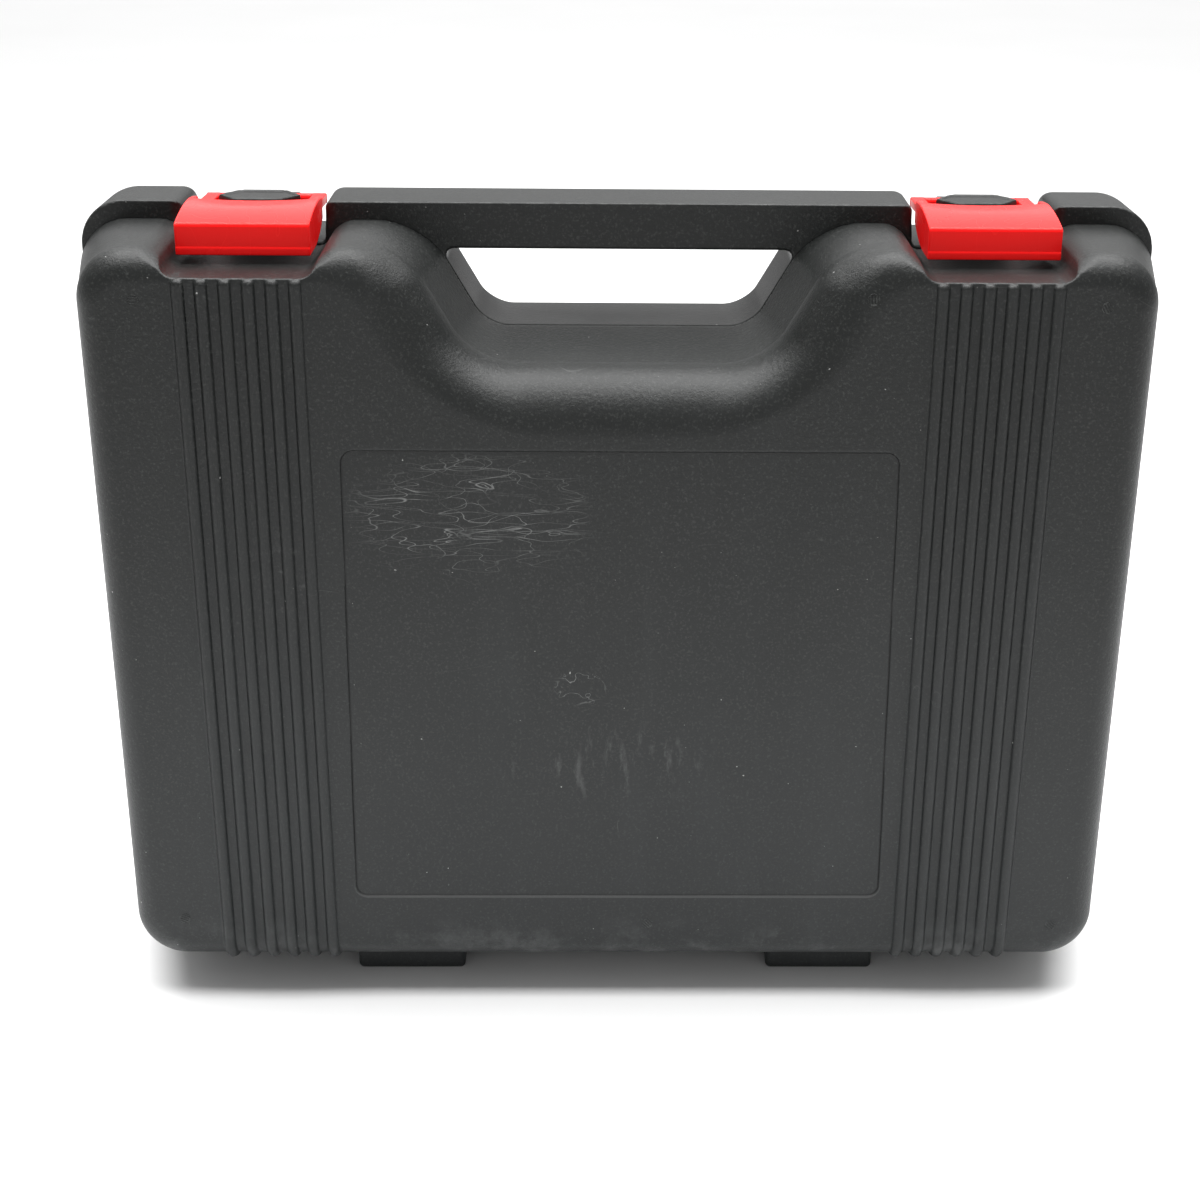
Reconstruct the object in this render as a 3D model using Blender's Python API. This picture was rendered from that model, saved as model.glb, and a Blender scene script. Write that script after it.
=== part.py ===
"""Hard equipment case: a blow-moulded, double-walled case that stands on its hinge side.

Metres, +Z up, +X right, the lid facing -Y. The origin is on the floor under the middle of the
case. Every piece is modelled with the seam between the halves on the plane y = 0 and is then
placed by an empty at SEAM_Y, because the lid is deeper than the base.
"""

import math

import bmesh
import bpy

MM = 0.001
EPS = 1 * MM  # how far a cutter runs past the face it cuts

# The two halves, seen from the front
SKIN = 2.4 * MM
GAP = 0.3 * MM
SEAM_Y = 8.0 * MM
CORNER_STEPS = 6
EDGE_STEPS = 5
ROUND_STEPS = 16

LID = {
    "side": -1,
    "depth": 56 * MM,
    "round_depth": 12 * MM,
    "round_inset": 12 * MM,
    "half_width": 213.3 * MM,
    "top": 325.3 * MM,
    "bottom": 13.5 * MM,
    "side_draft": 9.3 * MM,
    "top_draft": 0.5 * MM,
    "bottom_draft": 4.5 * MM,
    "corner_radius": 21 * MM,
    "foot_reach": 34 * MM,
}
BASE = {
    "side": 1,
    "depth": 40 * MM,
    "round_depth": 14 * MM,
    "round_inset": 10 * MM,
    "half_width": 212.3 * MM,
    "top": 332.2 * MM,
    "bottom": 12 * MM,
    "side_draft": 0.3 * MM,
    "top_draft": 0,
    "bottom_draft": 1 * MM,
    "corner_radius": 18.2 * MM,
    "foot_reach": 30 * MM,
}

# Hand hole: a trapezoid with its long side up, open at the top in the lid
HAND_FLOOR_Z = 283 * MM
HAND_TOP_Z = 313.7 * MM
HAND_FLOOR_HALF = 53 * MM
HAND_SLOPE = math.radians(60)
HAND_FLOOR_RADIUS = 8 * MM
HAND_TOP_RADIUS = 5 * MM
HAND_SHOULDER_RADIUS = 16 * MM
HAND_FLARE = 4 * MM
DISH_DRAFT = 6 * MM  # how much the lid's part of it widens up to the large edge round
DISH_ROUND = 24 * MM

# Inner trays
TRAY_HALF = 191 * MM
TRAY_BOTTOM = 34 * MM
TRAY_TOP = 268 * MM
TRAY_RADIUS = 16 * MM
TRAY_DRAFT = 5 * MM
TRAY_ROUND = 6 * MM
TRAY_CLEAR = 1.3 * MM  # between the tray's floor and the outer skin

# Latches and their notches
LATCH_X = 142.6 * MM
LATCH_WIDTH = 51 * MM
LATCH_FLARE = 0.2 * MM  # how much wider each side is at the back
LATCH_WALL = 2.4 * MM
LATCH_FRONT_Y = -34 * MM
LATCH_BACK_Y = -4 * MM
LATCH_CHEEK_Y = 5 * MM
LATCH_LOW_Z = 318.4 * MM
LATCH_EDGE_Z = 330.3 * MM
LATCH_BACK_Z = 334.1 * MM
LATCH_CROWN = 1.1 * MM
LATCH_EDGE_RADIUS = 1.2 * MM
ARM_INNER = 18.5 * MM  # from the latch's middle to an arm's inner side
ARM_OUTER = 24.1 * MM
ARM_THICK = 3.2 * MM
ARM_ROOT_Y = -12 * MM
BAR_Y = 27 * MM
BAR_Z = 327.8 * MM
BAR_RADIUS = 2.0 * MM
BAR_HALF = 24.1 * MM
LID_NOTCH_Z = 315 * MM
LID_NOTCH_X = 141.8 * MM
LID_NOTCH_HALF = 27.4 * MM
LID_NOTCH_FLARE = 4.2 * MM
LID_WELL_Z = 314 * MM  # the notch's floor under the latch
LID_WELL_Y = -37.5 * MM
BASE_NOTCH_Z = 316 * MM
BASE_NOTCH_X = 144 * MM
BASE_NOTCH_HALF = 28 * MM

# Boss that stands in the latch's window, and the saddle that its bar turns in
BOSS_HALF = 16.3 * MM
BOSS_FRONT_Y = 2 * MM
BOSS_BACK_Y = 20 * MM
BOSS_TOP_Z = 332.7 * MM
BOSS_POINT = 7 * MM
SADDLE_HALF = 13 * MM
SADDLE_BACK_Y = 33 * MM
SADDLE_TOP_Z = 329.2 * MM
SADDLE_MOUTH = 3.8 * MM

# Hinges and feet
HINGE_X = 89.6 * MM
AXIS_Z = 5.6 * MM
KNUCKLE_RADIUS = 5.2 * MM
LID_KNUCKLE = 46.7 * MM
BASE_KNUCKLE = 20 * MM
KNUCKLE_GAP = 0.4 * MM
KNUCKLE_STEPS = 8
FOOT_ROOT = 0.8 * SKIN  # how deep a foot's root sits in the skin
FOOT_CORNER = 3.0 * MM
PIN_RADIUS = 2.0 * MM
PIN_HOLE_RADIUS = 2.35 * MM

# Face details
BEADS = 6
BEAD_BAND_X = 142 * MM
BEAD_PITCH = 8.7 * MM
BEAD_HALF = 2.4 * MM
BEAD_HIGH = 2.0 * MM
BEAD_SUNK = 1.0 * MM
BEAD_DROP = 0.4 * MM  # from the notch floor down to a bead's top end
BEAD_UNDER = 7 * MM  # how far a bead runs on under the case
BEAD_TAPER = 0.2 * MM
PANEL_HALF = 107.6 * MM
PANEL_LOW = 51 * MM
PANEL_HIGH = 248.3 * MM
PANEL_RADIUS = 5 * MM
PANEL_DEEP = 0.8 * MM


def clear_scene():
    for obj in list(bpy.data.objects):
        bpy.data.objects.remove(obj, do_unlink=True)


def material(name, colour, roughness, metallic=0.0):
    made = bpy.data.materials.new(name)
    made.use_nodes = True
    shader = made.node_tree.nodes["Principled BSDF"]
    shader.inputs["Base Color"].default_value = (*colour, 1.0)
    shader.inputs["Roughness"].default_value = roughness
    shader.inputs["Metallic"].default_value = metallic
    return made


def rounded(corners, radii, inset=0.0, steps=CORNER_STEPS):
    """Points of a polygon with rounded corners, moved inwards by inset. Corners run anticlockwise."""
    count = len(corners)
    lines = []
    for i in range(count):
        (ax, az), (bx, bz) = corners[i], corners[(i + 1) % count]
        length = math.hypot(bx - ax, bz - az)
        dx, dz = (bx - ax) / length, (bz - az) / length
        lines.append((ax - dz * inset, az + dx * inset, dx, dz))
    points = []
    for i in range(count):
        px, pz, pdx, pdz = lines[i - 1]
        qx, qz, qdx, qdz = lines[i]
        cross = pdx * qdz - pdz * qdx
        t = ((qx - px) * qdz - (qz - pz) * qdx) / cross
        x, z = px + t * pdx, pz + t * pdz
        turn = math.atan2(cross, pdx * qdx + pdz * qdz)
        radius = max(radii[i] - math.copysign(inset, turn), 0.2 * MM)
        back = radius * math.tan(abs(turn) / 2)
        sign = math.copysign(1, turn)
        cx = x - pdx * back - pdz * radius * sign
        cz = z - pdz * back + pdx * radius * sign
        start = math.atan2(z - pdz * back - cz, x - pdx * back - cx)
        for k in range(steps + 1):
            angle = start + turn * k / steps
            points.append((cx + radius * math.cos(angle), cz + radius * math.sin(angle)))
    return points


def mesh_object(name, bm):
    """Triangles keep every face flat, which the exact Boolean needs."""
    bmesh.ops.triangulate(bm, faces=bm.faces)
    bmesh.ops.recalc_face_normals(bm, faces=bm.faces)
    mesh = bpy.data.meshes.new(name)
    bm.to_mesh(mesh)
    bm.free()
    obj = bpy.data.objects.new(name, mesh)
    bpy.context.scene.collection.objects.link(obj)
    return obj


def loft(name, rings):
    """A closed solid through rings of the same number of points, each ring a list of (x, y, z)."""
    bm = bmesh.new()
    loops = [[bm.verts.new(p) for p in ring] for ring in rings]
    for low, high in zip(loops, loops[1:]):
        for i in range(len(low)):
            j = (i + 1) % len(low)
            bm.faces.new((low[i], low[j], high[j], high[i]))
    bm.faces.new(loops[0])
    bm.faces.new(reversed(loops[-1]))
    return mesh_object(name, bm)


def at_y(points, y):
    return [(x, y, z) for x, z in points]


def prism_x(name, profile, x_low, x_high):
    """A (y, z) profile extruded along X."""
    return loft(name, [[(x, y, z) for y, z in profile] for x in (x_low, x_high)])


def prism_y(name, profile, y_low, y_high):
    """An (x, z) profile extruded along Y."""
    return loft(name, [at_y(profile, y) for y in (y_low, y_high)])


def box(name, low, high):
    profile = [(low[1], low[2]), (high[1], low[2]), (high[1], high[2]), (low[1], high[2])]
    return prism_x(name, profile, low[0], high[0])


def combine(target, others, operation):
    """Applies one Boolean of all the others to target and removes them."""
    group = bpy.data.collections.new("operands")
    bpy.context.scene.collection.children.link(group)
    for other in others:
        bpy.context.scene.collection.objects.unlink(other)
        group.objects.link(other)
    modifier = target.modifiers.new(operation, "BOOLEAN")
    modifier.operation = operation
    modifier.operand_type = "COLLECTION"
    modifier.collection = group
    modifier.solver = "EXACT"
    graph = bpy.context.evaluated_depsgraph_get()
    mesh = bpy.data.meshes.new_from_object(target.evaluated_get(graph))
    target.modifiers.clear()
    target.data = mesh
    for other in others:
        bpy.data.objects.remove(other, do_unlink=True)
    bpy.data.collections.remove(group)
    return target


def cut(target, *others):
    return combine(target, others, "DIFFERENCE")


def add(target, *others):
    return combine(target, others, "UNION")


def edge_inset(half, y):
    """How far a half's outline has drawn in, y from the seam, along its edge round."""
    t = max(0.0, (y - half["depth"] + half["round_depth"]) / half["round_depth"])
    return half["round_inset"] * (1 - math.sqrt(max(0.0, 1 - t * t)))


def dish_spread(y):
    """How far the walls of the lid's dish have spread, y from the seam."""
    start = LID["depth"] - DISH_ROUND
    t = max(0.0, (y - start) / DISH_ROUND)
    return DISH_DRAFT * min(y / start, 1) + DISH_ROUND * (1 - math.sqrt(max(0.0, 1 - t * t)))


def outer_corners(half, y):
    """Corners and radii of a half's outline, y from the seam."""
    lean = min(1.0, y / (half["depth"] - half["round_depth"]))
    wide = half["half_width"] - half["side_draft"] * lean
    top = half["top"] - half["top_draft"] * lean
    low = half["bottom"] + half["bottom_draft"] * lean
    radius = half["corner_radius"]
    corners = [(-wide, low), (wide, low), (wide, top)]
    radii = [radius, radius, radius]
    if half is LID:
        spread = dish_spread(y) - edge_inset(LID, y)
        low_z = HAND_FLOOR_Z - spread
        floor = HAND_FLOOR_HALF + spread * math.tan(HAND_SLOPE / 2)
        reach = floor + (top - low_z) / math.tan(HAND_SLOPE)
        corners += [(reach, top), (floor, low_z), (-floor, low_z), (-reach, top)]
        radii += [HAND_SHOULDER_RADIUS, HAND_FLOOR_RADIUS, HAND_FLOOR_RADIUS, HAND_SHOULDER_RADIUS]
    return corners + [(-wide, top)], radii + [radius]


def half_rings(half, skin):
    """Rings of a half's outside, or of the hollow that lies a skin under it."""
    shoulder = half["depth"] - half["round_depth"]
    depths = [GAP / 2 + skin, shoulder]
    if half is LID:
        depths.insert(1, half["depth"] - DISH_ROUND)
    for k in range(1, EDGE_STEPS + 1):
        depths.append(shoulder + half["round_depth"] * math.sin(math.pi / 2 * k / EDGE_STEPS))
    rings = []
    for y in depths:
        corners, radii = outer_corners(half, y)
        inset = skin + edge_inset(half, y)
        rings.append(at_y(rounded(corners, radii, inset), half["side"] * min(y, half["depth"] - skin)))
    return rings


def hand_hole_rings(grow):
    """Rings of the hole through the base's handle, widened by grow."""
    reach = HAND_FLOOR_HALF + (HAND_TOP_Z - HAND_FLOOR_Z) / math.tan(HAND_SLOPE)
    corners = [(-HAND_FLOOR_HALF, HAND_FLOOR_Z), (HAND_FLOOR_HALF, HAND_FLOOR_Z)]
    corners += [(reach, HAND_TOP_Z), (-reach, HAND_TOP_Z)]
    radii = [HAND_FLOOR_RADIUS, HAND_FLOOR_RADIUS, HAND_TOP_RADIUS, HAND_TOP_RADIUS]
    flat = BASE["depth"] - BASE["round_depth"]
    rings = [at_y(rounded(corners, radii, -grow), y) for y in (-EPS, flat)]
    for k in range(1, EDGE_STEPS + 1):
        angle = math.pi / 2 * k / EDGE_STEPS
        out = grow + HAND_FLARE * (1 - math.cos(angle))
        rings.append(at_y(rounded(corners, radii, -out), flat + BASE["round_depth"] * math.sin(angle)))
    rings.append(at_y(rounded(corners, radii, -out), BASE["depth"] + EPS))
    return rings


def notch(half, sign, grow):
    """Cutter for the notch that a latch lies in, widened by grow."""
    if half is LID:
        middle, low, wide, flare = LID_NOTCH_X, LID_NOTCH_Z, LID_NOTCH_HALF, LID_NOTCH_FLARE
        y_low, y_high = -half["depth"] - EPS, EPS
    else:
        middle, low, wide, flare = BASE_NOTCH_X, BASE_NOTCH_Z, BASE_NOTCH_HALF, 0.0
        y_low, y_high = -EPS, half["depth"] + EPS
    x = sign * middle
    high = half["top"] + 3 * EPS
    profile = [
        (x - wide - grow, low - grow),
        (x + wide + grow, low - grow),
        (x + wide + flare + grow, high),
        (x - wide - flare - grow, high),
    ]
    return prism_y("notch", profile, y_low, y_high)


def notch_well(sign, grow):
    """Cutter for the deeper part of the lid's notch, under the latch."""
    wide = LID_NOTCH_HALF + grow
    return box(
        "well",
        (sign * LID_NOTCH_X - wide, LID_WELL_Y - grow, LID_WELL_Z - grow),
        (sign * LID_NOTCH_X + wide, EPS, LID_NOTCH_Z + EPS),
    )


def bead(half, x, top_z):
    """One raised bead that runs down the face and round the bottom edge."""
    side = half["side"]
    shoulder = half["depth"] - half["round_depth"]
    low = half["bottom"] + half["bottom_draft"]
    inset = half["round_inset"]
    path = [(half["depth"], top_z, 1.0, 0.0)]
    for k in range(EDGE_STEPS + 1):
        angle = math.pi / 2 * (1 - k / EDGE_STEPS)
        y = shoulder + half["round_depth"] * math.sin(angle)
        z = low + inset * (1 - math.cos(angle))
        path.append((y, z, math.sin(angle), -math.cos(angle)))
    end_y = shoulder - BEAD_UNDER
    end_z = half["bottom"] + half["bottom_draft"] * end_y / shoulder
    path.append((end_y, end_z - BEAD_TAPER, 0.0, -1.0))
    rings = []
    for y, z, out_y, out_z in path:
        ring = []
        for across, up in ((-1, -BEAD_SUNK), (1, -BEAD_SUNK), (0.5, BEAD_HIGH), (-0.5, BEAD_HIGH)):
            ring.append((x + across * BEAD_HALF, side * (y + out_y * up), z + out_z * up))
        rings.append(ring)
    return loft("bead", rings)


def bead_band(half, sign, top_z):
    middle = sign * BEAD_BAND_X
    return [bead(half, middle + (k - (BEADS - 1) / 2) * BEAD_PITCH, top_z) for k in range(BEADS)]


def face_panel(half):
    """Cutter for the shallow panel in the middle of a face."""
    corners = [(-PANEL_HALF, PANEL_LOW), (PANEL_HALF, PANEL_LOW)]
    corners += [(PANEL_HALF, PANEL_HIGH), (-PANEL_HALF, PANEL_HIGH)]
    outline = rounded(corners, [PANEL_RADIUS] * 4, steps=3)
    face = half["side"] * half["depth"]
    ends = sorted((face - half["side"] * PANEL_DEEP, face + half["side"] * EPS))
    return prism_y("panel", outline, *ends)


def tray_window(half):
    corners = [(-TRAY_HALF, TRAY_BOTTOM), (TRAY_HALF, TRAY_BOTTOM)]
    corners += [(TRAY_HALF, TRAY_TOP), (-TRAY_HALF, TRAY_TOP)]
    ends = sorted((-half["side"] * EPS, half["side"] * (SKIN + 2 * EPS)))
    return prism_y("window", rounded(corners, [TRAY_RADIUS] * 4), *ends)


def knuckle(half, x_low, x_high):
    """A foot with a hinge knuckle at the seam, bored for the pin."""
    side = half["side"]
    reach = half["foot_reach"]
    rise = half["bottom_draft"] / (half["depth"] - half["round_depth"])
    profile = []
    for k in range(KNUCKLE_STEPS + 1):
        angle = math.pi * (k / KNUCKLE_STEPS - 0.5)
        profile.append((-KNUCKLE_RADIUS * math.cos(angle), AXIS_Z + KNUCKLE_RADIUS * math.sin(angle)))
    profile.append((GAP, AXIS_Z + KNUCKLE_RADIUS))
    profile.append((GAP, half["bottom"] + FOOT_ROOT))
    profile.append((reach, half["bottom"] + rise * reach + FOOT_ROOT))
    profile.append((reach, FOOT_CORNER))
    profile.append((reach - FOOT_CORNER, 0.0))
    profile.append((0.0, 0.0))
    body = prism_x("knuckle", [(side * y, z) for y, z in profile], x_low, x_high)
    hole = []
    for k in range(ROUND_STEPS):
        angle = math.tau * k / ROUND_STEPS
        hole.append((PIN_HOLE_RADIUS * math.cos(angle), AXIS_Z + PIN_HOLE_RADIUS * math.sin(angle)))
    return cut(body, prism_x("hole", hole, x_low - EPS, x_high + EPS))


def lid_knuckles(sign):
    x = sign * HINGE_X
    return [knuckle(LID, x - LID_KNUCKLE / 2, x + LID_KNUCKLE / 2)]


def base_knuckles(sign):
    x = sign * HINGE_X
    inner = LID_KNUCKLE / 2 + KNUCKLE_GAP
    outer = inner + BASE_KNUCKLE
    return [knuckle(BASE, x - outer, x - inner), knuckle(BASE, x + inner, x + outer)]


def lid_shell():
    shell = loft("front_outer_shell", half_rings(LID, 0.0))
    hollow = loft("hollow", half_rings(LID, SKIN))
    cut(
        hollow,
        notch(LID, -1, SKIN),
        notch(LID, 1, SKIN),
        notch_well(-1, SKIN),
        notch_well(1, SKIN),
    )
    cut(
        shell,
        hollow,
        notch(LID, -1, 0.0),
        notch(LID, 1, 0.0),
        notch_well(-1, 0.0),
        notch_well(1, 0.0),
        tray_window(LID),
        face_panel(LID),
    )
    raised = []
    for sign in (-1, 1):
        raised += bead_band(LID, sign, LID_NOTCH_Z - BEAD_DROP)
        raised += lid_knuckles(sign)
    return add(shell, *raised)


def latch_boss(sign):
    """The lozenge that shows through the latch's window."""
    x = sign * LATCH_X
    plan = [
        (-BOSS_HALF, (BOSS_FRONT_Y + BOSS_BACK_Y) / 2),
        (-BOSS_HALF + BOSS_POINT, BOSS_FRONT_Y),
        (BOSS_HALF - BOSS_POINT, BOSS_FRONT_Y),
        (BOSS_HALF, (BOSS_FRONT_Y + BOSS_BACK_Y) / 2),
        (BOSS_HALF - BOSS_POINT, BOSS_BACK_Y),
        (-BOSS_HALF + BOSS_POINT, BOSS_BACK_Y),
    ]
    ends = (BASE_NOTCH_Z - SKIN / 2, BOSS_TOP_Z)
    return loft("boss", [[(x + px, py, z) for px, py in plan] for z in ends])


def latch_saddle(sign):
    """The block behind the boss, with a groove that the latch's bar snaps into."""
    x = sign * LATCH_X
    low = BASE_NOTCH_Z - SKIN / 2
    block = box(
        "saddle",
        (x - SADDLE_HALF, BOSS_BACK_Y - EPS, low),
        (x + SADDLE_HALF, SADDLE_BACK_Y, SADDLE_TOP_Z),
    )
    radius = BAR_RADIUS + GAP
    mouth = math.asin(SADDLE_MOUTH / 2 / radius)
    groove = []
    for k in range(13):
        angle = math.pi / 2 + mouth + (math.tau - 2 * mouth) * k / 12
        groove.append((BAR_Y + radius * math.cos(angle), BAR_Z + radius * math.sin(angle)))
    groove.append((BAR_Y + SADDLE_MOUTH / 2, SADDLE_TOP_Z + EPS))
    groove.append((BAR_Y - SADDLE_MOUTH / 2, SADDLE_TOP_Z + EPS))
    return cut(block, prism_x("groove", groove, x - SADDLE_HALF - EPS, x + SADDLE_HALF + EPS))


def base_shell():
    shell = loft("rear_outer_shell", half_rings(BASE, 0.0))
    hollow = loft("hollow", half_rings(BASE, SKIN))
    cut(
        hollow,
        loft("hand_hole", hand_hole_rings(SKIN)),
        notch(BASE, -1, SKIN),
        notch(BASE, 1, SKIN),
    )
    cut(
        shell,
        hollow,
        loft("hand_hole", hand_hole_rings(0.0)),
        notch(BASE, -1, 0.0),
        notch(BASE, 1, 0.0),
        tray_window(BASE),
        face_panel(BASE),
    )
    raised = []
    for sign in (-1, 1):
        raised += bead_band(BASE, sign, BASE_NOTCH_Z - BEAD_DROP)
        raised += base_knuckles(sign)
        raised += [latch_boss(sign), latch_saddle(sign)]
    return add(shell, *raised)


def tray_rings(half, skin):
    """Rings of a tray's outside, or of the storage space that lies a skin inside it."""
    side = half["side"]
    deep = half["depth"] - SKIN - TRAY_CLEAR - skin
    half_wide = TRAY_HALF - GAP
    corners = [(-half_wide, TRAY_BOTTOM + GAP), (half_wide, TRAY_BOTTOM + GAP)]
    corners += [(half_wide, TRAY_TOP - GAP), (-half_wide, TRAY_TOP - GAP)]
    radii = [TRAY_RADIUS] * 4
    first = -EPS if skin else GAP / 2
    rings = [at_y(rounded(corners, radii, skin), side * first)]
    rings.append(at_y(rounded(corners, radii, skin + TRAY_DRAFT), side * (deep - TRAY_ROUND)))
    for k in range(1, 4):
        angle = math.pi / 2 * k / 3
        inset = skin + TRAY_DRAFT + TRAY_ROUND * (1 - math.cos(angle))
        y = deep - TRAY_ROUND * (1 - math.sin(angle))
        rings.append(at_y(rounded(corners, radii, inset), side * y))
    return rings


def tray(half, name):
    return cut(loft(name, tray_rings(half, 0.0)), loft("space", tray_rings(half, SKIN)))


def latch_profile(inset):
    """(y, z) outline of the latch's cap, convex on top."""
    front, back = LATCH_FRONT_Y + inset, LATCH_CHEEK_Y
    edge, rear = LATCH_EDGE_Z - inset, LATCH_BACK_Z - inset
    radius = LATCH_EDGE_RADIUS
    points = [(front, LATCH_LOW_Z)]
    for k in range(4):
        angle = math.pi - math.pi / 2 * k / 3
        points.append((front + radius * (1 + math.cos(angle)), edge - radius * (1 - math.sin(angle))))
    for k in range(1, 8):
        t = k / 8
        y = front + radius + (LATCH_BACK_Y - front - radius) * t
        points.append((y, edge + (rear - edge) * t + LATCH_CROWN * 4 * t * (1 - t)))
    points.append((LATCH_BACK_Y, rear))
    points.append((back, rear - 1.0 * MM))
    points.append((back, LATCH_LOW_Z + 3 * MM))
    points.append((back - 3 * MM, LATCH_LOW_Z))
    return points


def latch(name, sign):
    """A latch: cap with cheeks, two arms and the bar it turns on."""
    x = sign * LATCH_X
    half = LATCH_WIDTH / 2
    body = prism_x(name, latch_profile(0.0), x - half, x + half)
    hollow = prism_x("hollow", latch_profile(LATCH_WALL), x - half + LATCH_WALL, x + half - LATCH_WALL)
    under = box(
        "under",
        (x - half + LATCH_WALL, LATCH_FRONT_Y + LATCH_WALL, LATCH_LOW_Z - EPS),
        (x + half - LATCH_WALL, LATCH_CHEEK_Y + EPS, LATCH_LOW_Z + 4 * MM),
    )
    window = box(
        "window",
        (x - half + LATCH_WALL, LATCH_BACK_Y, LATCH_LOW_Z),
        (x + half - LATCH_WALL, LATCH_CHEEK_Y + EPS, LATCH_BACK_Z + EPS),
    )
    cut(body, hollow, under, window)
    for vertex in body.data.vertices:
        back = (vertex.co.y - LATCH_FRONT_Y) / (LATCH_CHEEK_Y - LATCH_FRONT_Y)
        vertex.co.x = x + (vertex.co.x - x) * (1 + LATCH_FLARE / half * back)
    profile = [
        (ARM_ROOT_Y, LATCH_BACK_Z - LATCH_WALL - ARM_THICK),
        (BAR_Y, BAR_Z - BAR_RADIUS),
        (BAR_Y, BAR_Z + BAR_RADIUS),
        (ARM_ROOT_Y, LATCH_BACK_Z - LATCH_WALL + GAP),
    ]
    arms = []
    for arm_sign in (-1, 1):
        ends = sorted((x + arm_sign * ARM_INNER, x + arm_sign * ARM_OUTER))
        arms.append(prism_x("arm", profile, *ends))
    bar = []
    for k in range(ROUND_STEPS):
        angle = math.tau * k / ROUND_STEPS
        bar.append((BAR_Y + BAR_RADIUS * math.cos(angle), BAR_Z + BAR_RADIUS * math.sin(angle)))
    return add(body, prism_x("bar", bar, x - BAR_HALF, x + BAR_HALF), *arms)


def hinge_pin(name, sign):
    """A plain steel pin through the three knuckles of a hinge."""
    x = sign * HINGE_X
    reach = LID_KNUCKLE / 2 + KNUCKLE_GAP + BASE_KNUCKLE
    rings = []
    ends = ((-reach, 0.7), (-reach + 0.6 * MM, 1.0), (reach - 0.6 * MM, 1.0), (reach, 0.7))
    for along, scale in ends:
        ring = []
        for k in range(ROUND_STEPS):
            angle = math.tau * k / ROUND_STEPS
            radius = PIN_RADIUS * scale
            ring.append((x + along, radius * math.cos(angle), AXIS_Z + radius * math.sin(angle)))
        rings.append(ring)
    return loft(name, rings)


def set_pivot(obj, pivot):
    """Moves an object's origin to its joint's axis without moving its surface."""
    for vertex in obj.data.vertices:
        vertex.co.x -= pivot[0]
        vertex.co.y -= pivot[1]
        vertex.co.z -= pivot[2]
    obj.location = pivot


def finish(obj, made):
    obj.data.materials.clear()
    obj.data.materials.append(made)
    obj.data.shade_smooth()
    obj.data.set_sharp_from_angle(angle=math.radians(35))


def main():
    clear_scene()
    charcoal = material("charcoal_plastic", (0.045, 0.048, 0.047), 0.55)
    tray_black = material("tray_plastic", (0.035, 0.037, 0.037), 0.6)
    red = material("red_plastic", (0.75, 0.02, 0.015), 0.25)
    steel = material("pin_steel", (0.6, 0.6, 0.6), 0.3, 1.0)

    lid = lid_shell()
    lid_tray = tray(LID, "front_inner_tray")
    base = base_shell()
    base_tray = tray(BASE, "rear_inner_tray")
    for obj in (lid, lid_tray):
        set_pivot(obj, (0.0, 0.0, AXIS_Z))
    pieces = [(lid, charcoal), (lid_tray, tray_black), (base, charcoal), (base_tray, tray_black)]
    for side_name, sign in (("left", -1), ("right", 1)):
        catch = latch("latch_" + side_name, sign)
        set_pivot(catch, (sign * LATCH_X, BAR_Y, BAR_Z))
        pieces.append((catch, red))
        pieces.append((hinge_pin("hinge_pin_" + side_name, sign), steel))

    case_frame = bpy.data.objects.new("case_frame", None)
    case_frame.location.y = SEAM_Y
    bpy.context.scene.collection.objects.link(case_frame)
    for obj, made in pieces:
        finish(obj, made)
        obj.parent = case_frame


main()
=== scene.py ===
"""Looks of the hard equipment case: detailed skins, latches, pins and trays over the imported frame.

Each piece is a surface drawn round a distance field in millimetres, thinned, and put back on the
field with the field's own normals, so that every edge and blend keeps its real radius.

In the fields, ax is the distance from the middle of the case's length, d the distance from the
seam plane into a half, and z the height over the floor.
"""

import math

import bpy
import numpy as np
from mathutils import Matrix, Vector


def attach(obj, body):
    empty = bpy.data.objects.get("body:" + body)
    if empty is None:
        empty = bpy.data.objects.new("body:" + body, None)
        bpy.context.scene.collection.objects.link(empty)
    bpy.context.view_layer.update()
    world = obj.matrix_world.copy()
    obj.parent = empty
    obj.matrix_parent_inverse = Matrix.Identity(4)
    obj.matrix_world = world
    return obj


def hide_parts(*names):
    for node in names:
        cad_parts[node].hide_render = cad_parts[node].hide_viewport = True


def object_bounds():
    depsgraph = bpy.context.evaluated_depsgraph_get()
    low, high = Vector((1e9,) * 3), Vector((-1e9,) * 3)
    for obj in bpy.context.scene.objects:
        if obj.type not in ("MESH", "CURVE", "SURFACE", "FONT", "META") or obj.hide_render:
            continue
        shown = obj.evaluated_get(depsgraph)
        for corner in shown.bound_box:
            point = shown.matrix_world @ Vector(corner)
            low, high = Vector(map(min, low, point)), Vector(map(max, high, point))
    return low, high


MM = 0.001
BLOCK = 8  # cells along the side of a block
BATCH = 800  # blocks sampled at a time

# Each half: its depth; the width and depth of the round between its walls and its face; half its
# length and the heights of its top and bottom at the seam; how far its walls lean in; its corners.
LID = {"depth": 56.0, "inset": 12.0, "drop": 12.0, "half": 213.3, "top": 325.3, "low": 13.5,
       "side_draft": 9.3, "top_draft": 0.5, "low_draft": 4.5, "radius": 21.0}
BASE = {"depth": 40.0, "inset": 10.0, "drop": 14.0, "half": 212.3, "top": 332.2, "low": 12.0,
        "side_draft": 0.3, "top_draft": 0.0, "low_draft": 1.0, "radius": 18.2}
SEAM = 0.15
SHIFT = np.array((0.0, 8.0, 0.0))  # from the seam plane to the frame's origin

HAND_FLOOR, HAND_TOP, HAND_HALF, HAND_CORNER = 283.0, 313.7, 53.0, 8.0
HAND_TAN, HAND_SIN = math.tan(math.radians(60)), math.sin(math.radians(60))
DISH_DRAFT, DISH_ROUND = 6.0, 24.0

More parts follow.
